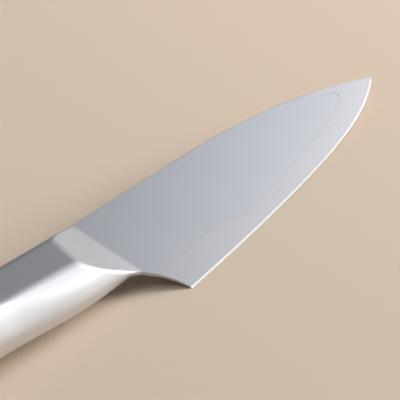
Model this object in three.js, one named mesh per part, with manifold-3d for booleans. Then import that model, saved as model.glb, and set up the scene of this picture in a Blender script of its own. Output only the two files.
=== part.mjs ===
// Petty knife lying on its left side: a blade of two brazed steels and a hollow handle of two welded shells
import * as THREE from 'three';
import { mergeVertices } from 'three/addons/utils/BufferGeometryUtils.js';
import Module from 'manifold-3d';

const wasm = await Module();
wasm.setup();
const { degToRad, lerp, smoothstep } = THREE.MathUtils;

// Driving dimensions, in millimetres and degrees
// The heel of the edge is the origin, +X runs to the tip, +Y from edge to spine, +Z out of the right face

// Blade outline
const BLADE_LENGTH = 120;
const HEEL_HEIGHT = 28.4;
const TIP_HEIGHT = 19;
const SPINE_STRAIGHT = 40;
const SPINE_POWER = 2.45;
const EDGE_STRAIGHT = 10;
const EDGE_ANGLE = 4.5;
const EDGE_BOW = 4.1;
const EDGE_SWEEP_POWER = 6.5;
const CHOIL_DEPTH = 9.5;
const CHOIL_HEIGHT = 10.65;
const CHOIL_POWER = 0.57;
const TIP_BLUNT = 0.12;

// Blade section
const SPINE_THICKNESS = 1.8;
const TIP_THICKNESS = 0.44;
const EDGE_THICKNESS = 0.26;
const BEVEL_WIDTH = 0.42;
const SPINE_CHAMFER = 0.15;

// Line where the two steels meet, as heights above the edge and places along the blade
const REAR_STRIP = 7.4;
const JOG_STRIP = 4.9;
const TIP_STRIP = 5.6;
const JOG_AT = 29.5;
const JOG_RUN = 4.4;
const NOSE_SETBACK = 16.5;
const NOSE_HEIGHT = 2.5;
const NOSE_COVER = 1.1;
const NOSE_RUN = 10;
const SEAM_ROUND = 0.9;
const BRAZE_WIDTH = 0.24;

// Neck, ramp and tang
const RAMP_START = 4.7;
const RAMP_ANGLE = 16.7;
const RAMP_FILLET = 16;
const BOLSTER_END = 28;
const NECK_REBATE = 0.15;
const TANG_LENGTH = 42;
const TANG_HEIGHT = 9;
const TANG_TAPER = 1.5;
const SPIGOT_LENGTH = 7;
const SPIGOT_ROOT = 2;

// Handle, with heights over the heel and places behind it
const HANDLE_END = 114;
const FLANK_ANGLE = 20.4;
const UPPER_FACET_ANGLE = 4.2;
const NECK_SLIM = 1.9;
const SLIM_END = 48;
const REST_START = 76;
const NECK_BELLY = 10.45;
const WAIST_BELLY = 12.2;
const SWELL_BELLY = 6;
const BUTT_BELLY = 7.5;
const NECK_AT = 23;
const DROP_START = 50;
const WAIST_AT = 60;
const SWELL_AT = 92;
const BUTT_DROP = 5.5;
const RIDGE_HEIGHT = 18.6;
const NECK_RIDGE_DROP = 1.3;
const BUTT_RIDGE_DROP = 7.4;
const CROWN_HALF = 0.7;
const SHOULDER_DROP = 1.4;
const SHOULDER_ROUND = 1.4;
const RIDGE_ROUND = 1.2;
const NECK_KNEE_RISE = 3.45;
const WAIST_KNEE_RISE = 4.8;
const SWELL_KNEE_RISE = 2.8;
const NECK_KNEE_OUT = 0.35;
const NECK_KNEE_ROUND = 1.75;
const WAIST_KNEE_ROUND = 4.2;
const SWELL_KNEE_ROUND = 2.5;
const NECK_KEEL_HALF = 0.7;
const WAIST_KEEL_HALF = 1.45;
const KEEL_ROUND = 2.4;
const BUTT_ROUND = 4;
const SHELL_WALL = 1.1;
const WELD_WIDTH = 0.8;
const RING_SPACING = 4.5;

// Clearances
const BOND_GAP = 0.04;
const SPIGOT_GAP = 0.15;

// Finish: steel colours, and sheets larger than the knife for cutting
const FINISH = {
  body: { color: 0xadb2ba, roughness: 0.34, metalness: 1 },
  edge: { color: 0xc3c6c9, roughness: 0.3, metalness: 1 },
  braze: { color: 0x8c6247, roughness: 0.45, metalness: 1 },
  handle: { color: 0xb9bbbe, roughness: 0.28, metalness: 1 },
};
const BEYOND = 60;

const edgeSlope = Math.tan(degToRad(EDGE_ANGLE));
const flankSlope = Math.tan(degToRad(FLANK_ANGLE));
const rampSlope = Math.tan(degToRad(RAMP_ANGLE));

// Height of the edge and of the spine along the blade
function edgeLine(x) {
  const sweep = TIP_HEIGHT - BLADE_LENGTH * edgeSlope - EDGE_BOW;
  const run = Math.max(0, (x - EDGE_STRAIGHT) / (BLADE_LENGTH - EDGE_STRAIGHT));
  return x * edgeSlope + EDGE_BOW * run ** 2 + sweep * run ** EDGE_SWEEP_POWER;
}

function spineLine(x) {
  const run = Math.max(0, (x - SPINE_STRAIGHT) / (BLADE_LENGTH - SPINE_STRAIGHT));
  return HEEL_HEIGHT - (HEEL_HEIGHT - TIP_HEIGHT) * run ** SPINE_POWER;
}

// Half thickness of the flat-ground blade: each face is one plane, thinner toward the edge and toward the tip
const faceRise = (SPINE_THICKNESS - EDGE_THICKNESS) / 2 / HEEL_HEIGHT;
const faceFall = ((TIP_THICKNESS - EDGE_THICKNESS) / 2 - faceRise * TIP_HEIGHT) / BLADE_LENGTH;
const bladeHalf = (x, y) => EDGE_THICKNESS / 2 + faceRise * y + faceFall * x;

// Lines of the handle at a distance behind the heel, where the belly first rises from the heel as the choil
function bellyLine(back) {
  const ahead = 1 - Math.min(back / CHOIL_DEPTH, 1);
  const toChoil = CHOIL_HEIGHT * (1 - ahead ** 2) ** CHOIL_POWER;
  const toNeck = lerp(toChoil, NECK_BELLY, smoothstep(back, CHOIL_DEPTH, NECK_AT));
  const toWaist = lerp(toNeck, WAIST_BELLY, smoothstep(back, NECK_AT, WAIST_AT));
  const toSwell = lerp(toWaist, SWELL_BELLY, smoothstep(back, WAIST_AT, SWELL_AT));
  return lerp(toSwell, BUTT_BELLY, smoothstep(back, SWELL_AT, HANDLE_END));
}

// A value that is given at the neck, at the waist and at the swell, and eased between them
function alongHandle(back, neck, waist, swell) {
  const toWaist = lerp(neck, waist, smoothstep(back, NECK_AT, WAIST_AT));
  return lerp(toWaist, swell, smoothstep(back, WAIST_AT, REST_START));
}

// The knee between flank and belly: its height, how far it stands out of the flank's plane, and its rounding
function kneeLine(back) {
  return bellyLine(back) + alongHandle(back, NECK_KNEE_RISE, WAIST_KNEE_RISE, SWELL_KNEE_RISE);
}

function kneeOut(back) {
  return alongHandle(back, NECK_KNEE_OUT, 0, 0);
}

function kneeRound(back) {
  return alongHandle(back, NECK_KNEE_ROUND, WAIST_KNEE_ROUND, SWELL_KNEE_ROUND);
}

function keelHalf(back) {
  return lerp(NECK_KEEL_HALF, WAIST_KEEL_HALF, smoothstep(back, CHOIL_DEPTH, WAIST_AT));
}

function topLine(back) {
  return HEEL_HEIGHT - BUTT_DROP * smoothstep(back, DROP_START, HANDLE_END);
}

function ridgeLine(back) {
  const atNeck = NECK_RIDGE_DROP * (1 - smoothstep(back, CHOIL_DEPTH, WAIST_AT));
  return RIDGE_HEIGHT - atNeck - BUTT_RIDGE_DROP * smoothstep(back, DROP_START, HANDLE_END);
}

// Half width at the ridge: toward the butt the flanks lie in planes through the straight edge, so that edge
// and flank rest on one surface, and toward the neck the handle is slimmer
function ridgeHalf(back) {
  const edgeAngle = degToRad(EDGE_ANGLE);
  const onPlane = back * Math.sin(edgeAngle) + ridgeLine(back) * Math.cos(edgeAngle);
  return flankSlope * onPlane - NECK_SLIM * (1 - smoothstep(back, SLIM_END, REST_START));
}

// Replaces each inner corner of a line by a curve of a few chords, starting at a reach from the corner,
// or less where the stretch is short, because two corners share a stretch in the ratio of their reaches
function roundCorners(corners) {
  const line = [corners[0].point];
  for (let i = 1; i + 1 < corners.length; i++) {
    const { point, reach, chords } = corners[i];
    const toward = (next) => {
      const most = 0.96 * reach / (reach + next.reach);
      return point.clone().lerp(next.point, Math.min(reach / point.distanceTo(next.point), most));
    };
    const from = toward(corners[i - 1]);
    const to = toward(corners[i + 1]);
    line.push(...new THREE.QuadraticBezierCurve(from, point, to).getPoints(chords));
  }
  line.push(corners[corners.length - 1].point);
  return line;
}

// Moves a line sideways, to its left for a positive distance
function shiftLine(points, distance) {
  return points.map((point, i) => {
    const before = points[Math.max(i - 1, 0)];
    const after = points[Math.min(i + 1, points.length - 1)];
    const into = (i ? point.clone().sub(before) : after.clone().sub(point)).normalize();
    const away = (after !== point ? after.clone().sub(point) : into.clone()).normalize();
    const normal = new THREE.Vector2(-into.y - away.y, into.x + away.x).normalize();
    const lean = normal.x * -into.y + normal.y * into.x;
    return point.clone().addScaledVector(normal, distance / lean);
  });
}

// Joins rings, each counterclockwise for a viewer looking along them, into a closed surface with flat ends
function loft(rings) {
  const count = rings[0].length;
  const positions = rings.flat().flatMap((point) => point.toArray());
  const index = [];
  for (let ring = 0; ring + 1 < rings.length; ring++) {
    for (let i = 0; i < count; i++) {
      const a = ring * count + i;
      const b = ring * count + ((i + 1) % count);
      index.push(a, a + count, b, b, a + count, b + count);
    }
  }
  for (const last of [false, true]) {
    const ring = last ? rings.length - 1 : 0;
    const middle = rings[ring].reduce((sum, point) => sum.add(point), new THREE.Vector3());
    const centre = positions.length / 3;
    positions.push(...middle.divideScalar(count).toArray());
    for (let i = 0; i < count; i++) {
      const a = ring * count + i;
      const b = ring * count + ((i + 1) % count);
      index.push(centre, ...(last ? [b, a] : [a, b]));
    }
  }
  const geometry = new THREE.BufferGeometry();
  geometry.setAttribute('position', new THREE.Float32BufferAttribute(positions, 3));
  geometry.setIndex(index);
  return geometry;
}

// Carries a geometry into a solid for cutting, and back
function toSolid(geometry) {
  const bare = new THREE.BufferGeometry();
  bare.setAttribute('position', geometry.getAttribute('position'));
  bare.setIndex(geometry.getIndex());
  const merged = mergeVertices(bare, 1e-5);
  const mesh = new wasm.Mesh({
    numProp: 3,
    vertProperties: new Float32Array(merged.getAttribute('position').array),
    triVerts: new Uint32Array(merged.getIndex().array),
  });
  return new wasm.Manifold(mesh);
}

function toGeometry(solid) {
  const mesh = solid.getMesh();
  const geometry = new THREE.BufferGeometry();
  geometry.setAttribute('position', new THREE.Float32BufferAttribute(mesh.vertProperties, 3));
  geometry.setIndex([...mesh.triVerts]);
  return geometry;
}

// A flat outline given thickness both ways from the blade's middle plane
function sheet(points) {
  const depth = 2 * BEYOND;
  const shape = new THREE.Shape(points);
  const geometry = new THREE.ExtrudeGeometry(shape, { depth, bevelEnabled: false });
  return toSolid(geometry.translate(0, 0, -BEYOND));
}

// A block between two distances along one axis
function slab(axis, from, to) {
  const size = new THREE.Vector3(8 * BEYOND, 8 * BEYOND, 8 * BEYOND).setComponent(axis, to - from);
  const middle = new THREE.Vector3().setComponent(axis, (from + to) / 2);
  const geometry = new THREE.BoxGeometry(...size.toArray());
  return toSolid(geometry.translate(...middle.toArray()));
}

const point2 = (x, y) => new THREE.Vector2(x, y);
const range = (from, to, steps) => Array.from({ length: steps + 1 }, (_, i) => lerp(from, to, i / steps));

// The ground blade ahead of the ramp, before it is parted into two steels
function bladeRing(x) {
  const edge = edgeLine(x);
  const spine = spineLine(x);
  const shoulder = edge + Math.min(BEVEL_WIDTH, (spine - edge) / 3);
  const chamfer = Math.min(SPINE_CHAMFER, (spine - edge) / 4);
  const corner = spine - chamfer;
  const top = bladeHalf(x, spine) - chamfer;
  const right = [
    [edge, 0],
    [shoulder, bladeHalf(x, shoulder)],
    [corner, bladeHalf(x, corner)],
    [spine, top],
  ];
  const left = right.slice(1).reverse();
  return [
    ...right.map(([y, z]) => new THREE.Vector3(x, y, z)),
    ...left.map(([y, z]) => new THREE.Vector3(x, y, -z)),
  ];
}

// Its rings stand closer together where the edge sweeps up to the tip
const sweepStart = 0.78 * BLADE_LENGTH;
const bladePlaces = [
  ...range(-RAMP_START, EDGE_STRAIGHT, 2),
  ...range(EDGE_STRAIGHT, sweepStart, 10).slice(1),
  ...range(sweepStart, BLADE_LENGTH - TIP_BLUNT, 12).slice(1),
];
const groundBlade = toSolid(loft(bladePlaces.map(bladeRing)));

// The neck and tang plate, thinner than the blade by the rebate that the cheeks sit in
function plate(from, to, grow) {
  const ring = (x) => {
    const side = (y) => bladeHalf(x, y) - NECK_REBATE + grow;
    const [low, high] = [NECK_BELLY / 2, HEEL_HEIGHT + grow];
    const corners = [[low, 1], [high, 1], [high, -1], [low, -1]];
    return corners.map(([y, sign]) => new THREE.Vector3(x, y, sign * side(y)));
  };
  return toSolid(loft([ring(-to), ring(-from)]));
}

// Outline of everything behind the heel: choil, neck and tang, drawn larger for the slot in the cheeks
function neckOutline(grow) {
  const tangMiddle = (HEEL_HEIGHT + NECK_BELLY) / 2;
  const tangHalf = TANG_HEIGHT / 2 + grow;
  const tangEnd = -BOLSTER_END - TANG_LENGTH - grow;
  const shoulder = -BOLSTER_END + BOND_GAP - 2 * grow;
  const choil = range(0, 1, 12).map((share) => CHOIL_DEPTH * share ** 2);
  const places = [...choil, ...range(CHOIL_DEPTH, BOLSTER_END, 4).slice(1)];
  const under = places.map((back) => point2(-back, bellyLine(back) - grow));
  return [
    point2(BLADE_LENGTH + BEYOND, -BEYOND),
    point2(BLADE_LENGTH + BEYOND, BEYOND),
    point2(shoulder, BEYOND),
    point2(shoulder, tangMiddle + tangHalf),
    point2(tangEnd, tangMiddle + tangHalf - TANG_TAPER),
    point2(tangEnd, tangMiddle - tangHalf + TANG_TAPER),
    point2(shoulder, tangMiddle - tangHalf),
    point2(shoulder, under[under.length - 1].y),
    ...under.slice(0, -1).reverse(),
    point2(0, -BEYOND),
  ];
}

// The line between the steels, from behind the heel forward, round the nose of the body and out at the spine
function seamLine() {
  const noseX = BLADE_LENGTH - NOSE_SETBACK;
  const jogEnd = JOG_AT + JOG_RUN;
  const above = (x, strip) => point2(x, edgeLine(x) + strip);
  const strip = (x) => lerp(JOG_STRIP, TIP_STRIP, (x - jogEnd) / (noseX - jogEnd));
  const noseFoot = above(noseX, TIP_STRIP);
  const under = (x) => point2(x, spineLine(x) - NOSE_COVER);
  const exit = noseX - NOSE_RUN;
  const corners = [
    ...range(-2 * CHOIL_DEPTH, JOG_AT, 4).map((x) => above(x, REAR_STRIP)),
    ...range(jogEnd, noseX - 2, 9).map((x) => above(x, strip(x))),
    noseFoot,
    point2(noseX, noseFoot.y + NOSE_HEIGHT),
    under(noseX - NOSE_RUN / 2),
    under(exit),
    point2(exit - NOSE_RUN / 2, BEYOND),
  ];
  return roundCorners(corners.map((point) => ({ point, reach: SEAM_ROUND, chords: 3 })));
}

const seam = seamLine();
const behind = point2(-4 * BEYOND, seam[0].y);
const below = [point2(4 * BEYOND, BEYOND), point2(4 * BEYOND, -BEYOND), point2(seam[0].x, -BEYOND)];
const above = [point2(-4 * BEYOND, BEYOND), behind];
const bodySide = shiftLine(seam, BRAZE_WIDTH / 2);
const edgeSide = shiftLine(seam, -BRAZE_WIDTH / 2);
const outline = sheet(neckOutline(0));
const blank = groundBlade.intersect(outline);
const neckPlate = plate(RAMP_START - 1, BOLSTER_END + TANG_LENGTH + BEYOND, 0);
const neck = neckPlate.intersect(outline).intersect(handleForm(RAMP_START - 1, HANDLE_END, 0, 0));

const bodyRegion = sheet([...shiftLine(bodySide, BOND_GAP), ...above]);
const edgeRegion = sheet([...shiftLine(edgeSide, -BOND_GAP), ...below]);
const brazeRegion = sheet([...bodySide, ...[...edgeSide].reverse()]);
const bladeBody = blank.intersect(bodyRegion).add(neck);
const cuttingEdge = blank.intersect(edgeRegion);
const brazeSeam = blank.intersect(brazeRegion);

// Half of the handle's section, from the middle of the crown round the ridge to the middle of the belly,
// with a plain chamfer at the ridge, so that the knife can lie still on the facet beside it
function halfSection(back, inset) {
  const top = topLine(back);
  const bottom = bellyLine(back);
  const ridge = point2(ridgeLine(back), ridgeHalf(back));
  const shoulderY = top - SHOULDER_DROP;
  const kneeY = kneeLine(back);
  const facetSlope = Math.tan(degToRad(UPPER_FACET_ANGLE));
  const flankFall = flankSlope * Math.cos(degToRad(EDGE_ANGLE));
  const corners = [
    point2(top, 0),
    point2(top, CROWN_HALF),
    point2(shoulderY, ridge.y - facetSlope * (shoulderY - ridge.x)),
    ridge,
    point2(kneeY, ridge.y - flankFall * (ridge.x - kneeY) + kneeOut(back)),
    point2(bottom, keelHalf(back)),
    point2(bottom, 0),
  ];
  const drawnIn = shiftLine(corners, inset);
  const reaches = [0, CROWN_HALF, SHOULDER_ROUND, RIDGE_ROUND, kneeRound(back), KEEL_ROUND, 0];
  const chords = [0, 3, 3, 1, 3, 3, 0];
  return roundCorners(drawnIn.map((point, i) => ({ point, reach: reaches[i], chords: chords[i] })));
}

function handleRing(back, inset) {
  const half = halfSection(back, inset);
  const mirrored = half.slice(1, -1).reverse();
  return [
    ...half.map((point) => new THREE.Vector3(-back, point.x, point.y)),
    ...mirrored.map((point) => new THREE.Vector3(-back, point.x, -point.y)),
  ];
}

// The handle's outer form, or the same form drawn in, with a rounded rim at the butt where one is asked for
function handleForm(from, to, inset, rim) {
  const start = Math.max(from, CHOIL_DEPTH);
  const rings = range(start, to - rim, Math.max(2, Math.round((to - start) / RING_SPACING)))
    .map((back) => handleRing(back, inset));
  if (from < start) {
    rings.unshift(...range(from, start, 4).slice(0, -1).map((back) => handleRing(back, inset)));
  }
  if (rim) {
    for (const turn of range(0, Math.PI / 2, 4).slice(1)) {
      rings.push(handleRing(to - rim * (1 - Math.sin(turn)), inset + rim * (1 - Math.cos(turn))));
    }
  }
  return toSolid(loft(rings));
}

// What the ramp leaves free on the right side: rising from the blade's face through a fillet
function rampCut(sign) {
  const turn = degToRad(RAMP_ANGLE);
  const fillet = range(0, turn, 5).map((angle) => [
    RAMP_START + RAMP_FILLET * Math.sin(angle),
    RAMP_FILLET * (1 - Math.cos(angle)),
  ]);
  const [lastBack, lastRise] = fillet[fillet.length - 1];
  const profile = [
    [-BEYOND, 0],
    ...fillet,
    [lastBack + BEYOND, lastRise + rampSlope * BEYOND],
    [-BEYOND, lastRise + rampSlope * BEYOND],
  ];
  const ring = (y) => profile.map(([back, rise]) => (
    new THREE.Vector3(-back, y, sign * (bladeHalf(-back, y) + rise))
  ));
  const rings = [ring(BEYOND), ring(-BEYOND)];
  return toSolid(loft(sign > 0 ? rings : rings.reverse()));
}

// Bolster: the front of the handle form, cut to a ramp each side, with a spigot that the shells slide over
const slot = plate(0, BOLSTER_END + TANG_LENGTH + BEYOND, BOND_GAP).intersect(sheet(neckOutline(BOND_GAP)));
const collar = handleForm(RAMP_START + BOND_GAP, BOLSTER_END, 0, 0);
const spigot = handleForm(BOLSTER_END - SPIGOT_ROOT, BOLSTER_END + SPIGOT_LENGTH, SHELL_WALL + SPIGOT_GAP, 0);
const bolster = collar.subtract(rampCut(1)).subtract(rampCut(-1)).add(spigot).subtract(slot);
const rightHalf = slab(2, BOND_GAP / 2, BEYOND);
const leftHalf = slab(2, -BEYOND, -BOND_GAP / 2);

// Handle: one hollow form, parted by the weld ring at the neck and the weld bead on the middle plane
const shellStart = BOLSTER_END + WELD_WIDTH;
const hollowRim = BUTT_ROUND - SHELL_WALL;
const hollow = handleForm(BOLSTER_END - SPIGOT_ROOT, HANDLE_END - SHELL_WALL, SHELL_WALL, hollowRim);
const skin = handleForm(BOLSTER_END, HANDLE_END, 0, BUTT_ROUND).subtract(hollow);
const ring = skin.intersect(slab(0, BOND_GAP - shellStart, -BOND_GAP - BOLSTER_END));
const shells = skin.intersect(slab(0, -2 * HANDLE_END, -shellStart));
const beadHalf = WELD_WIDTH / 2;
const bead = shells.intersect(slab(2, BOND_GAP - beadHalf, beadHalf - BOND_GAP));

// The knife in its own axes, one named mesh for each piece
const knife = new THREE.Group();
function addPiece(name, solid, finish) {
  const mesh = new THREE.Mesh(toGeometry(solid), new THREE.MeshStandardMaterial(finish));
  mesh.name = name;
  knife.add(mesh);
}
addPiece('blade_body', bladeBody, FINISH.body);
addPiece('cutting_edge', cuttingEdge, FINISH.edge);
addPiece('braze_seam', brazeSeam, FINISH.braze);
addPiece('bolster_cheek_right', bolster.intersect(rightHalf), FINISH.handle);
addPiece('bolster_cheek_left', bolster.intersect(leftHalf), FINISH.handle);
addPiece('neck_weld', ring, FINISH.handle);
addPiece('handle_shell_right', shells.intersect(slab(2, beadHalf, BEYOND)), FINISH.handle);
addPiece('handle_shell_left', shells.intersect(slab(2, -BEYOND, -beadHalf)), FINISH.handle);
addPiece('handle_seam_weld', bead, FINISH.handle);

// Rest: turned until the edge and the left flank lie level, then set on z = 0 over the middle of its own box
const roll = Math.atan(Math.cos(degToRad(EDGE_ANGLE)) * flankSlope);
const pitch = Math.asin(Math.sin(degToRad(EDGE_ANGLE)) * Math.sin(degToRad(FLANK_ANGLE)));
knife.rotation.set(roll, pitch, 0, 'YXZ');
const part = new THREE.Group();
part.add(knife);
part.updateMatrixWorld(true);
const box = new THREE.Box3().setFromObject(part, true);
const middle = box.getCenter(new THREE.Vector3());
knife.position.set(-middle.x, -middle.y, -box.min.z);

export default part;
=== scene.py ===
"""Looks of a petty knife lying on its left side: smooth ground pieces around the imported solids."""

import math

import bmesh
import bpy
from mathutils import Euler, Matrix, Vector


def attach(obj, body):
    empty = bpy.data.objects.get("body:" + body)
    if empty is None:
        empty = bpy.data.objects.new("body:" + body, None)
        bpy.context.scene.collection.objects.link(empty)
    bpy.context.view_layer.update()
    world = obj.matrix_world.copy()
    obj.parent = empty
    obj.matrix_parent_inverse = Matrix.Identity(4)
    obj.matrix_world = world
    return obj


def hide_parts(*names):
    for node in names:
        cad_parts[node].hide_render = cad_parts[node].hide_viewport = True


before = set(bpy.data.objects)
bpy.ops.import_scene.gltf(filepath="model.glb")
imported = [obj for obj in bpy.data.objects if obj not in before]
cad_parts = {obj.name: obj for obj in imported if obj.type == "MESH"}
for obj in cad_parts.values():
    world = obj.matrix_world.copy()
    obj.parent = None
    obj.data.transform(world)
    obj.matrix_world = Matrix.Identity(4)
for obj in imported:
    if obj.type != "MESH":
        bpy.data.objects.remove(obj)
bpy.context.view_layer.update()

# A millimetre in the scene's metres
MM = 0.001

# Sizes of the knife in millimetres and degrees, as in the solids
# The heel of the edge is the origin, +X runs to the tip, +Y from edge to spine
# +Z points out of the right face

# Blade outline
BLADE_LENGTH = 120
HEEL_HEIGHT = 28.4
TIP_HEIGHT = 19
SPINE_STRAIGHT = 40
SPINE_POWER = 2.45
EDGE_STRAIGHT = 10
EDGE_ANGLE = math.radians(4.5)
EDGE_BOW = 4.1
EDGE_SWEEP_POWER = 6.5
CHOIL_DEPTH = 9.5
CHOIL_HEIGHT = 10.65
CHOIL_POWER = 0.57
TIP_BLUNT = 0.12

# Blade section, and the corners that are broken on spine and choil
SPINE_THICKNESS = 1.8
TIP_THICKNESS = 0.44
EDGE_THICKNESS = 0.26
BEVEL_WIDTH = 0.42
SPINE_CHAMFER = 0.15
CHOIL_EASE = 0.2
SHARP_HEEL = 2

# Line where the two steels meet
REAR_STRIP = 7.4
JOG_STRIP = 4.9
TIP_STRIP = 5.6
JOG_AT = 29.5
JOG_RUN = 4.4
NOSE_SETBACK = 16.5
NOSE_HEIGHT = 2.5
NOSE_COVER = 1.1
NOSE_RUN = 10
NOSE_LEAD = 2
SEAM_ROUND = 0.9
BRAZE_WIDTH = 0.24

# How far the braze is hollow along its middle, and where it grows deeper toward the nose
BRAZE_SINK = 0.012
NOSE_SINK = 0.05
NOSE_SINK_START = 88
NOSE_SINK_END = 96
NOSE_SINK_RISE = 1

# Neck, ramp and tang
RAMP_START = 4.7
RAMP_ANGLE = math.radians(16.7)
RAMP_FILLET = 16
RAMP_SOFTNESS = 0.45
BOLSTER_END = 28
NECK_REBATE = 0.15
TANG_LENGTH = 42
TANG_HEIGHT = 9
TANG_TAPER = 1.5
SPIGOT_LENGTH = 7

# Handle, with heights over the heel and places behind it
HANDLE_END = 114
FLANK_ANGLE = math.radians(20.4)
UPPER_FACET_ANGLE = math.radians(4.2)
NECK_SLIM = 1.9
SLIM_END = 48
REST_START = 76
NECK_BELLY = 10.45
WAIST_BELLY = 12.2
SWELL_BELLY = 6
BUTT_BELLY = 7.5
NECK_AT = 23
DROP_START = 50
WAIST_AT = 60
SWELL_AT = 92
BUTT_DROP = 5.5
RIDGE_HEIGHT = 18.6
NECK_RIDGE_DROP = 1.3
BUTT_RIDGE_DROP = 7.4
CROWN_HALF = 0.7
SHOULDER_DROP = 1.4
SHOULDER_ROUND = 1.4
RIDGE_ROUND = 1.2
NECK_KNEE_RISE = 3.45
WAIST_KNEE_RISE = 4.8
SWELL_KNEE_RISE = 2.8
NECK_KNEE_OUT = 0.35
NECK_KNEE_ROUND = 1.75
WAIST_KNEE_ROUND = 4.2
SWELL_KNEE_ROUND = 2.5
NECK_KEEL_HALF = 0.7
WAIST_KEEL_HALF = 1.45
KEEL_ROUND = 2.4
BUTT_ROUND = 4
SHELL_WALL = 1.1
SPIGOT_GAP = 0.15
WELD_WIDTH = 0.8

# Fineness of the meshes: points along a line, or rings along a form
STRAIGHT_POINTS = [2, 6, 30, 14, 3, 2]
CORNER_POINTS = 8
SEAM_CORNER_POINTS = 6
SEAM_REAR_POINTS = 4
SEAM_FORE_POINTS = 9
OUTLINE_POINTS = 60
TIP_SPINE_POINTS = 40
RAMP_RINGS = 20
NECK_RINGS = 74
JOINT_RINGS = 3
SHELL_RINGS = 90
BUTT_RINGS = 14
ROUND_SEGMENTS = 3

# Place along the blade from which the points of the edge lie closer together
EDGE_FINE_FROM = 90

# Largest share of a straight stretch that the curves at its two ends may take
CURVES_SHARE = 0.96

# Distances under which points merge or count as lying on a line
RING_MERGE = 1e-4
PLATE_MERGE = 1e-5
ON_LINE = 1e-3

# Digits to which a place is named, and halvings in the search for a border
KEY_DIGITS = 6
HALVINGS = 40

# Angles in degrees from which an edge of the mesh shows as a sharp line
BODY_CREASE = 13
EDGE_CREASE = 6
BRAZE_CREASE = 4
HANDLE_CREASE = 30

# Where the heel stands on the surface, and how far the knife leans over onto its flank
HEEL_PLACE = Vector((-3.0441, -13.6221, 0))
ROLL = math.atan(math.cos(EDGE_ANGLE) * math.tan(FLANK_ANGLE))
PITCH = math.asin(math.sin(EDGE_ANGLE) * math.sin(FLANK_ANGLE))
TURN = Matrix.Rotation(PITCH, 4, "Y") @ Matrix.Rotation(ROLL, 4, "X")
PLACE = Matrix.Scale(MM, 4) @ Matrix.Translation(HEEL_PLACE) @ TURN

EDGE_SLOPE = math.tan(EDGE_ANGLE)
FLANK_SLOPE = math.tan(FLANK_ANGLE)
FACE_RISE = (SPINE_THICKNESS - EDGE_THICKNESS) / 2 / HEEL_HEIGHT
FACE_FALL = ((TIP_THICKNESS - EDGE_THICKNESS) / 2 - FACE_RISE * TIP_HEIGHT) / BLADE_LENGTH


def mix(a, b, share):
    return a + (b - a) * share


def steps(start, end, count):
    return [mix(start, end, i / count) for i in range(count + 1)]


def ease(value, start, end):
    share = min(max((value - start) / (end - start), 0), 1)
    return share * share * (3 - 2 * share)


# Lines of the blade along its length
def edge_line(x):
    sweep = TIP_HEIGHT - BLADE_LENGTH * EDGE_SLOPE - EDGE_BOW
    run = max(0, (x - EDGE_STRAIGHT) / (BLADE_LENGTH - EDGE_STRAIGHT))
    return x * EDGE_SLOPE + EDGE_BOW * run**2 + sweep * run**EDGE_SWEEP_POWER


def spine_line(x):
    run = max(0, (x - SPINE_STRAIGHT) / (BLADE_LENGTH - SPINE_STRAIGHT))
    return HEEL_HEIGHT - (HEEL_HEIGHT - TIP_HEIGHT) * run**SPINE_POWER


def blade_half(x, y):
    return EDGE_THICKNESS / 2 + FACE_RISE * y + FACE_FALL * x


def bevel_line(x):
    """The bevel's upper border, which keeps to the lowest third of the blade at the tip."""
    edge = edge_line(x)
    return edge + min(BEVEL_WIDTH, (spine_line(x) - edge) / 3)


# Lines of the handle at a distance behind the heel
def belly_line(back):
    """The underside, which first rises from the heel as the choil."""
    ahead = 1 - min(back / CHOIL_DEPTH, 1)
    belly = CHOIL_HEIGHT * (1 - ahead**2) ** CHOIL_POWER
    belly = mix(belly, NECK_BELLY, ease(back, CHOIL_DEPTH, NECK_AT))
    belly = mix(belly, WAIST_BELLY, ease(back, NECK_AT, WAIST_AT))
    belly = mix(belly, SWELL_BELLY, ease(back, WAIST_AT, SWELL_AT))
    return mix(belly, BUTT_BELLY, ease(back, SWELL_AT, HANDLE_END))


def along_handle(back, neck, waist, swell):
    """A size that changes from the neck to the waist and on to the swell."""
    to_waist = mix(neck, waist, ease(back, NECK_AT, WAIST_AT))
    return mix(to_waist, swell, ease(back, WAIST_AT, REST_START))


def knee_line(back):
    rise = along_handle(back, NECK_KNEE_RISE, WAIST_KNEE_RISE, SWELL_KNEE_RISE)
    return belly_line(back) + rise


def knee_out(back):
    return along_handle(back, NECK_KNEE_OUT, 0, 0)


def knee_round(back):
    return along_handle(back, NECK_KNEE_ROUND, WAIST_KNEE_ROUND, SWELL_KNEE_ROUND)


def keel_half(back):
    return mix(NECK_KEEL_HALF, WAIST_KEEL_HALF, ease(back, CHOIL_DEPTH, WAIST_AT))


def top_line(back):
    return HEEL_HEIGHT - BUTT_DROP * ease(back, DROP_START, HANDLE_END)


def ridge_line(back):
    at_neck = NECK_RIDGE_DROP * (1 - ease(back, CHOIL_DEPTH, WAIST_AT))
    return RIDGE_HEIGHT - at_neck - BUTT_RIDGE_DROP * ease(back, DROP_START, HANDLE_END)


def ridge_half(back):
    """Half the width at the ridge, where the flank of the rear part lies on the surface."""
    on_plane = back * math.sin(EDGE_ANGLE) + ridge_line(back) * math.cos(EDGE_ANGLE)
    return FLANK_SLOPE * on_plane - NECK_SLIM * (1 - ease(back, SLIM_END, REST_START))


def ramp_rise(back):
    """Height of the ramp over the blade's face: a fillet, then a straight slope."""
    run = max(0, back - RAMP_START)
    fillet = RAMP_FILLET * math.sin(RAMP_ANGLE)
    if run < fillet:
        return RAMP_FILLET - math.sqrt(RAMP_FILLET**2 - run**2)
    return RAMP_FILLET * (1 - math.cos(RAMP_ANGLE)) + (run - fillet) * math.tan(RAMP_ANGLE)


# Outlines in a plane
def between(start, end, count):
    return [start.lerp(end, share) for share in steps(0, 1, count)[1:-1]]


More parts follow.
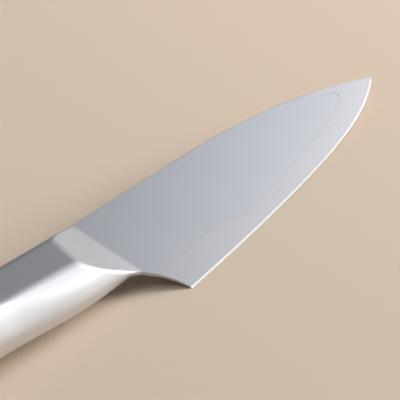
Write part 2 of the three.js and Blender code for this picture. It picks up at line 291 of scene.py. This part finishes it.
def round_corners(corners, reaches, count, spacing=None):
    """Puts a curve at each inner corner, and points along the straight stretches."""
    line = [corners[0]]
    for i in range(1, len(corners) - 1):
        before, corner, after = corners[i - 1 : i + 2]
        reach = reaches[i]
        most_before = CURVES_SHARE * reach / (reach + reaches[i - 1])
        most_after = CURVES_SHARE * reach / (reach + reaches[i + 1])
        start = corner.lerp(before, min(reach / (corner - before).length, most_before))
        end = corner.lerp(after, min(reach / (corner - after).length, most_after))
        if spacing:
            line += between(line[-1], start, spacing[i - 1])
        for share in steps(0, 1, count):
            line.append(start.lerp(corner, share).lerp(corner.lerp(end, share), share))
    if spacing:
        line += between(line[-1], corners[-1], spacing[-1])
    line.append(corners[-1])
    return line


def shift_line(points, distance):
    """Moves a line sideways, to its left for a positive distance."""
    moved = []
    for i, point in enumerate(points):
        into = (point - points[i - 1] if i else points[1] - point).normalized()
        away = (points[i + 1] - point).normalized() if i + 1 < len(points) else into
        normal = Vector((-into.y - away.y, into.x + away.x)).normalized()
        lean = normal.x * -into.y + normal.y * into.x
        moved.append(point + normal * (distance / lean))
    return moved


# Sections of the handle
def half_section(back, inset=0):
    """From the middle of the crown round the ridge to the middle of the belly."""
    top, bottom = top_line(back), belly_line(back)
    ridge = Vector((ridge_line(back), ridge_half(back)))
    shoulder_y, knee_y = top - SHOULDER_DROP, knee_line(back)
    flank_fall = FLANK_SLOPE * math.cos(EDGE_ANGLE)
    facet_fall = math.tan(UPPER_FACET_ANGLE) * (shoulder_y - ridge.x)
    corners = [
        Vector((top, 0)),
        Vector((top, CROWN_HALF)),
        Vector((shoulder_y, ridge.y - facet_fall)),
        ridge,
        Vector((knee_y, ridge.y - flank_fall * (ridge.x - knee_y) + knee_out(back))),
        Vector((bottom, keel_half(back))),
        Vector((bottom, 0)),
    ]
    reaches = [0, CROWN_HALF, SHOULDER_ROUND, RIDGE_ROUND, knee_round(back), KEEL_ROUND, 0]
    return round_corners(shift_line(corners, inset), reaches, CORNER_POINTS, STRAIGHT_POINTS)


def soft_min(a, b, width):
    """The smaller of two values, with a rounded passage where they are alike."""
    blend = max(width - abs(a - b), 0) / width
    return min(a, b) - blend * blend * width / 4


def handle_ring(back, inset=0, ramp=False):
    """A closed ring of the handle, cut down to the ramps where they are asked for."""
    half = half_section(back, inset)
    if ramp:
        for point in half:
            limit = blade_half(-back, point.x) + ramp_rise(back)
            point.y = max(0, soft_min(point.y, limit, RAMP_SOFTNESS)) if point.y else 0
    right = [Vector((-back, point.x, point.y)) for point in half]
    left = [Vector((-back, point.x, -point.y)) for point in reversed(half[1:-1])]
    return right + left


# Mesh work
def loft(rings, round_trip=False):
    """Joins rings of equal count, and either caps the ends or joins the last to the first."""
    bm = bmesh.new()
    loops = []
    for ring in rings:
        circle = bmesh.ops.create_circle(bm, segments=len(ring), radius=1)["verts"]
        for vert, place in zip(circle, ring):
            vert.co = place
        loops.append(list({edge for vert in circle for edge in vert.link_edges}))
    for before, after in zip(loops, loops[1:] + (loops[:1] if round_trip else [])):
        bmesh.ops.bridge_loops(bm, edges=before + after)
    if not round_trip:
        bmesh.ops.contextual_create(bm, geom=loops[0])
        bmesh.ops.contextual_create(bm, geom=loops[-1])
    bmesh.ops.remove_doubles(bm, verts=bm.verts[:], dist=RING_MERGE)
    bmesh.ops.recalc_face_normals(bm, faces=bm.faces[:])
    return bm


def cut(bm, point, normal):
    """Takes away what lies on the side that the normal points to, and caps the cut."""
    geom = bm.verts[:] + bm.edges[:] + bm.faces[:]
    done = bmesh.ops.bisect_plane(
        bm, geom=geom, dist=PLATE_MERGE, plane_co=point, plane_no=normal, clear_outer=True
    )
    edges = [item for item in done["geom_cut"] if isinstance(item, bmesh.types.BMEdge)]
    bmesh.ops.holes_fill(bm, edges=edges, sides=0)
    return bm


def plane_key(x, y):
    """A name for a place in the blade's middle plane, alike for points that coincide."""
    return round(x, KEY_DIGITS), round(y, KEY_DIGITS)


def draw_flat(faces):
    """Faces in the blade's middle plane, which share the points where they meet."""
    bm = bmesh.new()
    known = {}
    for face in faces:
        verts = []
        for point in face:
            key = plane_key(point.x, point.y)
            if key not in known:
                known[key] = bm.verts.new((point.x, point.y, 0))
            verts.append(known[key])
        bm.faces.new(verts)
    return bm


def thicken(bm, half):
    """Extrudes a flat drawing and moves its two sides to the given half thickness."""
    lower = bm.verts[:]
    done = bmesh.ops.extrude_face_region(bm, geom=bm.faces[:])
    upper = [item for item in done["geom"] if isinstance(item, bmesh.types.BMVert)]
    for sign, verts in ((-1, lower), (1, upper)):
        for vert in verts:
            vert.co.z = sign * half(vert.co.x, vert.co.y)
    bmesh.ops.remove_doubles(bm, verts=bm.verts[:], dist=PLATE_MERGE)
    bmesh.ops.dissolve_degenerate(bm, edges=bm.edges[:], dist=PLATE_MERGE)
    bmesh.ops.recalc_face_normals(bm, faces=bm.faces[:])
    return bm


def join(bm, other):
    """Adds a second closed form to a piece."""
    spare = bpy.data.meshes.new("spare")
    other.to_mesh(spare)
    bm.from_mesh(spare)
    bpy.data.meshes.remove(spare)
    other.free()


def round_edges(bm, edges, offset):
    """Gives sharp edges a small round."""
    bmesh.ops.bevel(
        bm,
        geom=edges,
        offset=offset,
        segments=ROUND_SEGMENTS,
        profile=0.5,
        affect="EDGES",
        material=-1,
        clamp_overlap=True,
    )


def make_piece(name, bm, materials, crease):
    """Sets a finished mesh in place as a piece that stands for the CAD node of the same name."""
    bmesh.ops.transform(bm, matrix=PLACE, verts=bm.verts[:])
    bm.normal_update()
    for face in bm.faces:
        face.smooth = True
    for edge in bm.edges:
        edge.smooth = edge.is_manifold and edge.calc_face_angle(math.pi) < math.radians(crease)
    mesh = bpy.data.meshes.new(name)
    bm.to_mesh(mesh)
    bm.free()
    piece = bpy.data.objects.new(name + "_look", mesh)
    bpy.context.scene.collection.objects.link(piece)
    for material in materials:
        mesh.materials.append(material)
    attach(piece, "root")
    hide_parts(name)


# Shader values
class Value:
    """A socket of a node tree: arithmetic on it adds Math nodes, and node() adds any other node."""

    def __init__(self, tree, socket=None):
        self.tree = tree
        self.socket = socket

    def node(self, kind, settings=None, inputs=None, output=0):
        node = self.tree.nodes.new(kind)
        for key, value in (settings or {}).items():
            if key == "stops":
                ramp = node.color_ramp
                while len(ramp.elements) < len(value):
                    ramp.elements.new(1)
                for element, (place, colour) in zip(ramp.elements, value):
                    element.position = place
                    element.color = colour
            else:
                setattr(node, key, value)
        for key, value in (inputs or {}).items():
            if isinstance(value, Value):
                self.tree.links.new(value.socket, node.inputs[key])
            else:
                node.inputs[key].default_value = value
        return Value(self.tree, node.outputs[output])

    def math(self, operation, first, second):
        return self.node("ShaderNodeMath", {"operation": operation}, {0: first, 1: second})

    def __add__(self, other):
        return self.math("ADD", self, other)

    def __radd__(self, other):
        return self.math("ADD", other, self)

    def __sub__(self, other):
        return self.math("SUBTRACT", self, other)

    def __mul__(self, other):
        return self.math("MULTIPLY", self, other)


def knife_axes(value):
    """Object coordinates turned into the knife's own axes, in millimetres."""
    coords = value.node("ShaderNodeTexCoord", output="Object")
    heel = HEEL_PLACE * -MM
    moved = value.node("ShaderNodeMapping", {}, {"Vector": coords, "Location": heel})
    back_turn = TURN.inverted().to_euler()
    turned = value.node("ShaderNodeMapping", {}, {"Vector": moved, "Rotation": back_turn})
    return value.node(
        "ShaderNodeVectorMath", {"operation": "SCALE"}, {"Vector": turned, "Scale": 1 / MM}
    )


def grain(value, axes, scale, detail):
    """Noise stretched along the way the belt ran."""
    stretched = value.node("ShaderNodeMapping", {}, {"Vector": axes, "Scale": scale})
    return value.node(
        "ShaderNodeTexNoise", {}, {"Vector": stretched, "Scale": 1, "Detail": detail}, "Fac"
    )


BLADE_LINES = (9, 0.35, 9)
HANDLE_LINES = (0.3, 8, 8)
LINE_DETAIL = 3
CLOUD_SCALE = (0.06, 0.09, 0.09)
CLOUD_DETAIL = 2
BUMP_STRENGTH = 0.05
BUMP_METRES = 0.00002


def steel(name, colour, roughness, lines, line_depth, cloud_depth, rough_spread):
    """Ground steel with fine belt lines and a faint cloudiness."""
    material = bpy.data.materials.new(name)
    material.use_nodes = True
    tree = material.node_tree
    shader = tree.nodes["Principled BSDF"]
    value = Value(tree)
    axes = knife_axes(value)
    belt = grain(value, axes, lines, LINE_DETAIL)
    cloud = grain(value, axes, CLOUD_SCALE, CLOUD_DETAIL)
    shade = 1 + (belt - 0.5) * line_depth + (cloud - 0.5) * cloud_depth
    tint = value.node("ShaderNodeVectorMath", {"operation": "SCALE"}, {0: colour, "Scale": shade})
    rough = roughness + (belt - 0.5) * rough_spread + (cloud - 0.5) * rough_spread
    bump = value.node(
        "ShaderNodeBump",
        {},
        {"Strength": BUMP_STRENGTH, "Distance": BUMP_METRES, "Height": belt},
    )
    tree.links.new(tint.socket, shader.inputs["Base Color"])
    tree.links.new(rough.socket, shader.inputs["Roughness"])
    tree.links.new(bump.socket, shader.inputs["Normal"])
    shader.inputs["Metallic"].default_value = 1
    return material


body_steel = steel("satin_body_steel", (0.76, 0.785, 0.84), 0.34, BLADE_LINES, 0.03, 0.05, 0.05)
edge_steel = steel("satin_edge_steel", (0.80, 0.81, 0.84), 0.34, BLADE_LINES, 0.03, 0.05, 0.05)
honed_steel = steel("honed_bevel_steel", (0.69, 0.685, 0.68), 0.36, BLADE_LINES, 0.03, 0.02, 0.04)
handle_steel = steel(
    "satin_handle_steel", (0.73, 0.738, 0.755), 0.33, HANDLE_LINES, 0.02, 0.04, 0.05
)
braze_copper = steel("braze_copper", (0.735, 0.725, 0.715), 0.36, BLADE_LINES, 0.06, 0.15, 0.08)


# Drawings in the blade's middle plane
def seam_line():
    """From behind the heel forward, round the nose of the body and out at the spine."""
    nose_x = BLADE_LENGTH - NOSE_SETBACK
    jog_end = JOG_AT + JOG_RUN

    def above(x, strip):
        return Vector((x, edge_line(x) + strip))

    def under(x):
        return Vector((x, spine_line(x) - NOSE_COVER))

    def strip(x):
        return mix(JOG_STRIP, TIP_STRIP, (x - jog_end) / (nose_x - jog_end))

    foot = above(nose_x, TIP_STRIP)
    leave = nose_x - NOSE_RUN
    corners = [above(x, REAR_STRIP) for x in steps(-2 * CHOIL_DEPTH, JOG_AT, SEAM_REAR_POINTS)]
    corners += [above(x, strip(x)) for x in steps(jog_end, nose_x - NOSE_LEAD, SEAM_FORE_POINTS)]
    corners += [foot, foot + Vector((0, NOSE_HEIGHT)), under(nose_x - NOSE_RUN / 2), under(leave)]
    corners += [Vector((leave - NOSE_RUN / 2, 2 * HEEL_HEIGHT))]
    return round_corners(corners, [SEAM_ROUND] * len(corners), SEAM_CORNER_POINTS)


def crossing(line, inside):
    """The part of a line from where it first enters a region to where it last leaves it."""
    flags = [inside(point) for point in line]
    first = flags.index(True)
    last = len(flags) - 1 - flags[::-1].index(True)

    def border(a, b):
        for _ in range(HALVINGS):
            middle = (a + b) / 2
            a, b = (middle, b) if inside(middle) == inside(a) else (a, middle)
        return (a + b) / 2

    return (
        [border(line[first - 1], line[first])]
        + line[first : last + 1]
        + [border(line[last], line[last + 1])]
    )


CHOIL = [
    Vector((-back, belly_line(back)))
    for back in (CHOIL_DEPTH * s * s for s in steps(0, 1, OUTLINE_POINTS))
]


def choil_x(y):
    """Where the choil lies at a height."""
    for low, high in zip(CHOIL, CHOIL[1:]):
        if low.y <= y <= high.y:
            return mix(low.x, high.x, (y - low.y) / (high.y - low.y))
    return CHOIL[-1].x


def in_blank(point):
    return point.x > choil_x(point.y) and point.y < spine_line(point.x)


def blade_parts():
    """The body, the three lines of the braze, and the edge strip's flat and bevel."""
    seam = seam_line()
    rows = [crossing(shift_line(seam, side * BRAZE_WIDTH / 2), in_blank) for side in (1, 0, -1)]
    body_side, _, edge_side = rows
    tip_x = BLADE_LENGTH - TIP_BLUNT
    body_places = steps(body_side[-1].x, -RAMP_START, OUTLINE_POINTS)
    spine_body = [Vector((x, spine_line(x))) for x in body_places]
    choil_body = [p for p in CHOIL if p.y > body_side[0].y and p.x > -RAMP_START]
    choil_body.append(Vector((-RAMP_START, belly_line(RAMP_START))))
    body = body_side[:-1] + spine_body + choil_body[::-1]
    tip_places = steps(edge_side[-1].x, tip_x, TIP_SPINE_POINTS)
    spine_edge = [Vector((x, spine_line(x))) for x in tip_places]
    places = steps(0, EDGE_FINE_FROM, OUTLINE_POINTS)
    places += steps(EDGE_FINE_FROM, tip_x, OUTLINE_POINTS)[1:]
    edge = [Vector((x, edge_line(x))) for x in places]
    shoulder = [Vector((x, bevel_line(x))) for x in places]
    shoulder[0].x = choil_x(shoulder[0].y)
    choil_edge = [p for p in CHOIL if shoulder[0].y < p.y < edge_side[0].y]
    flat = edge_side[:-1] + spine_edge + shoulder[::-1] + choil_edge
    bevel = [
        [shoulder[i], shoulder[i + 1], edge[i + 1], edge[i]] for i in range(len(places) - 1)
    ]
    return body, rows, flat, bevel


def tang_outline():
    """The tang behind the neck, hidden in the handle."""
    middle = (HEEL_HEIGHT + NECK_BELLY) / 2
    start, end = -BOLSTER_END - SPIGOT_LENGTH, -BOLSTER_END - TANG_LENGTH
    taper = TANG_TAPER * SPIGOT_LENGTH / TANG_LENGTH
    return [
        Vector((start, middle + TANG_HEIGHT / 2 - taper)),
        Vector((end, middle + TANG_HEIGHT / 2 - TANG_TAPER)),
        Vector((end, middle - TANG_HEIGHT / 2 + TANG_TAPER)),
        Vector((start, middle - TANG_HEIGHT / 2 + taper)),
    ]


# Neck, shared by the blade's body and the bolster cheeks
def neck_half(x, y):
    return blade_half(x, y) - NECK_REBATE


def neck_form():
    """The handle's front cut down to the ramps, with the spigot that the shells slide over."""
    inset = SHELL_WALL + SPIGOT_GAP
    places = steps(RAMP_START, CHOIL_DEPTH, RAMP_RINGS)
    places += steps(CHOIL_DEPTH, BOLSTER_END, NECK_RINGS)[1:]
    spigot_places = steps(BOLSTER_END, BOLSTER_END + SPIGOT_LENGTH, JOINT_RINGS)
    rings = [handle_ring(back, 0, True) for back in places]
    rings += [handle_ring(back, inset) for back in spigot_places]
    return loft(rings)


def neck_face(sign, outward):
    """Point and normal of one face of the neck plate."""
    normal = Vector((-FACE_FALL, -FACE_RISE, sign))
    return Vector((0, 0, sign * neck_half(0, 0))), normal * outward


# Blade
def round_spine(bm):
    """Breaks the sharp corners of the spine."""
    edges = [
        edge
        for edge in bm.edges
        if all(vert.co.y > spine_line(vert.co.x) - ON_LINE for vert in edge.verts)
        and abs(edge.verts[0].co.z - edge.verts[1].co.z) < SPINE_CHAMFER
        and edge.verts[0].co.x > -BOLSTER_END
    ]
    round_edges(bm, edges, SPINE_CHAMFER)


def ease_choil(bm, offset):
    """Breaks the sharp corners of the choil, apart from those next to the heel."""
    edges = [
        edge
        for edge in bm.edges
        if all(abs(vert.co.x - choil_x(vert.co.y)) < ON_LINE for vert in edge.verts)
        and edge.verts[0].co.z * edge.verts[1].co.z > 0
        and min(vert.co.y for vert in edge.verts) > SHARP_HEEL
    ]
    round_edges(bm, edges, offset)


def build_body(outline):
    """The back of the blade, with its neck and tang."""
    bm = thicken(draw_flat([outline]), blade_half)
    round_spine(bm)
    ease_choil(bm, CHOIL_EASE)
    neck = neck_form()
    for sign in (1, -1):
        cut(neck, *neck_face(sign, 1))
    for face in neck.faces:
        face.material_index = 1
    join(bm, neck)
    join(bm, thicken(draw_flat([tang_outline()]), neck_half))
    make_piece("blade_body", bm, [body_steel, handle_steel], BODY_CREASE)


def build_edge(flat, bevel):
    """The strip of harder steel, with a honed bevel that runs out to nothing at the edge."""
    sharp = {plane_key(point.x, point.y) for quad in bevel for point in quad[2:]}

    def edge_half(x, y):
        return 0 if plane_key(x, y) in sharp else blade_half(x, y)

    bm = thicken(draw_flat([flat] + bevel), edge_half)
    round_spine(bm)
    ease_choil(bm, CHOIL_EASE / 2)
    for face in bm.faces:
        low = min(vert.co.y - edge_line(vert.co.x) for vert in face.verts)
        high = max(vert.co.y - bevel_line(vert.co.x) for vert in face.verts)
        face.material_index = 1 if low < ON_LINE and high < ON_LINE else 0
    make_piece("cutting_edge", bm, [edge_steel, honed_steel], EDGE_CREASE)


def build_braze(rows):
    """The filler between the steels, a little hollow along its middle."""
    count = min(len(row) for row in rows)
    rows = [row[: count - 1] + [row[-1]] for row in rows]
    quads = []
    for upper, lower in zip(rows, rows[1:]):
        quads += [[upper[i], lower[i], lower[i + 1], upper[i + 1]] for i in range(count - 1)]
    middle = {plane_key(point.x, point.y) for point in rows[1]}

    def braze_half(x, y):
        if plane_key(x, y) not in middle:
            return blade_half(x, y)
        foot = edge_line(x) + TIP_STRIP
        nose = ease(x, NOSE_SINK_START, NOSE_SINK_END) * ease(y, foot, foot + NOSE_SINK_RISE)
        return blade_half(x, y) - mix(BRAZE_SINK, NOSE_SINK, nose)

    bm = thicken(draw_flat(quads), braze_half)
    make_piece("braze_seam", bm, [braze_copper], BRAZE_CREASE)


# Bolster and handle, all of the same steel
def make_handle_piece(name, bm):
    make_piece(name, bm, [handle_steel], HANDLE_CREASE)


def build_bolster():
    """Both cheeks, on the two faces of the neck plate."""
    form = neck_form()
    for name, sign in (("bolster_cheek_right", 1), ("bolster_cheek_left", -1)):
        make_handle_piece(name, cut(form.copy(), *neck_face(sign, -1)))
    form.free()


def form_rings(start, end, inset, rim):
    """Rings of the handle from its front to a butt with a rounded rim."""
    rings = [handle_ring(back, inset) for back in steps(start, end - rim, SHELL_RINGS)]
    for turn in steps(0, math.pi / 2, BUTT_RINGS)[1:]:
        back = end - rim * (1 - math.sin(turn))
        rings.append(handle_ring(back, inset + rim * (1 - math.cos(turn))))
    return rings


def build_handle():
    """The weld ring at the neck, the two shells and the weld bead on the middle plane."""
    shell_start = BOLSTER_END + WELD_WIDTH
    places = steps(BOLSTER_END, shell_start, JOINT_RINGS)
    ring = [handle_ring(back) for back in places]
    ring += [handle_ring(back, SHELL_WALL) for back in reversed(places)]
    make_handle_piece("neck_weld", loft(ring, True))

    outer = form_rings(shell_start, HANDLE_END, 0, BUTT_ROUND)
    inner = form_rings(shell_start, HANDLE_END - SHELL_WALL, SHELL_WALL, BUTT_ROUND - SHELL_WALL)
    form = loft(inner[::-1] + outer)
    up, down = Vector((0, 0, 1)), Vector((0, 0, -1))
    top, bottom = up * WELD_WIDTH / 2, down * WELD_WIDTH / 2
    make_handle_piece("handle_shell_right", cut(form.copy(), top, down))
    make_handle_piece("handle_shell_left", cut(form.copy(), bottom, up))
    make_handle_piece("handle_seam_weld", cut(cut(form, top, up), bottom, down))


body_outline, braze_rows, edge_flat, edge_bevel = blade_parts()
build_body(body_outline)
build_edge(edge_flat, edge_bevel)
build_braze(braze_rows)
build_bolster()
build_handle()


def show(name, data):
    """Adds an object that isn't part of the knife to the scene."""
    added = bpy.data.objects.new(name, data)
    bpy.context.scene.collection.objects.link(added)
    return added


# Pale plain floor, in metres
FLOOR_REACH = 4
FLOOR_COLOUR = (0.86, 0.70, 0.55, 1)
FLOOR_ROUGHNESS = 0.6
floor_form = bmesh.new()
bmesh.ops.create_grid(floor_form, x_segments=1, y_segments=1, size=FLOOR_REACH)
floor_mesh = bpy.data.meshes.new("floor")
floor_form.to_mesh(floor_mesh)
floor_form.free()
floor = show("floor", floor_mesh)
floor_paint = bpy.data.materials.new("pale_floor")
floor_paint.use_nodes = True
floor_shader = floor_paint.node_tree.nodes["Principled BSDF"]
floor_shader.inputs["Base Color"].default_value = FLOOR_COLOUR
floor_shader.inputs["Roughness"].default_value = FLOOR_ROUGHNESS
floor_mesh.materials.append(floor_paint)

# Camera at the photograph's angle, looking down along the knife from behind the handle
CAMERA_FROM_HEEL = Vector((-568.4, -320.1, 304.0))
CAMERA_HEADING = math.atan2(-0.8726, 0.4885)
CAMERA_DOWN = math.radians(23.5)
CAMERA_LENS = 306.5
CAMERA_SENSOR = 36
camera_data = bpy.data.cameras.new("camera")
camera_data.lens = CAMERA_LENS
camera_data.sensor_width = CAMERA_SENSOR
camera = show("camera", camera_data)
camera.location = (HEEL_PLACE + CAMERA_FROM_HEEL) * MM
camera.rotation_euler = Euler((math.pi / 2 - CAMERA_DOWN, 0, CAMERA_HEADING))
bpy.context.scene.camera = camera


# Soft studio light
def softbox(name, azimuth, elevation, distance, size, radiance):
    """A rectangular light facing the knife, with its azimuth counted from +X toward +Y."""
    width, height = size
    light = bpy.data.lights.new(name, "AREA")
    light.shape = "RECTANGLE"
    light.size = width
    light.size_y = height
    light.energy = radiance * width * height * math.pi
    lamp = show(name, light)
    a, e = math.radians(azimuth), math.radians(elevation)
    away = Vector((math.cos(a) * math.cos(e), math.sin(a) * math.cos(e), math.sin(e)))
    lamp.location = away * distance
    lamp.rotation_euler = away.to_track_quat("Z", "Y").to_euler()
    lamp.visible_camera = False
    return lamp


softbox("key_softbox", -26, 20, 1.5, (0.85, 0.84), 1.29)
softbox("side_softbox", -3, 19, 1.5, (0.45, 0.78), 1.35)
softbox("top_softbox", 210, 76, 1.6, (1.4, 1.4), 0.7)

# Light for the floor alone, which the steel doesn't mirror
floor_light = softbox("floor_softbox", -22, 17, 1.6, (0.9, 0.5), 28)
floor_light.visible_glossy = False

# Surroundings that the steel mirrors: pale low down, darker above, behind and on the spine's side
AHEAD = (0.87, 0.49, 0)
SPINE_SIDE = (-0.31, 0.95, 0)
GLOW_BY_HEIGHT = [
    (0.0, (0.70, 0.70, 0.69, 1)),
    (0.2, (0.62, 0.62, 0.62, 1)),
    (0.42, (0.33, 0.335, 0.35, 1)),
    (0.62, (0.19, 0.193, 0.205, 1)),
]

world = bpy.data.worlds.new("studio")
bpy.context.scene.world = world
world.use_nodes = True
backdrop = world.node_tree.nodes["Background"]
sky = Value(world.node_tree)
direction = sky.node("ShaderNodeTexCoord", output="Generated")


def level_along(axis, start, end, start_level, end_level):
    """A brightness that changes with how far a direction points along an axis."""
    along = sky.node(
        "ShaderNodeVectorMath", {"operation": "DOT_PRODUCT"}, {0: direction, 1: axis}, "Value"
    )
    span = {"From Min": start, "From Max": end, "To Min": start_level, "To Max": end_level}
    return sky.node("ShaderNodeMapRange", {}, {"Value": along, **span})


height = sky.node("ShaderNodeSeparateXYZ", {}, {0: direction}, "Z")
glow = sky.node("ShaderNodeValToRGB", {"stops": GLOW_BY_HEIGHT}, {"Fac": height})
level = level_along(AHEAD, -0.5, 0.4, 0.12, 1) * level_along(SPINE_SIDE, -0.15, 0.15, 1.15, 0.5)
light_around = sky.node("ShaderNodeVectorMath", {"operation": "SCALE"}, {0: glow, "Scale": level})
world.node_tree.links.new(light_around.socket, backdrop.inputs["Color"])

bpy.context.scene.view_settings.view_transform = "Standard"
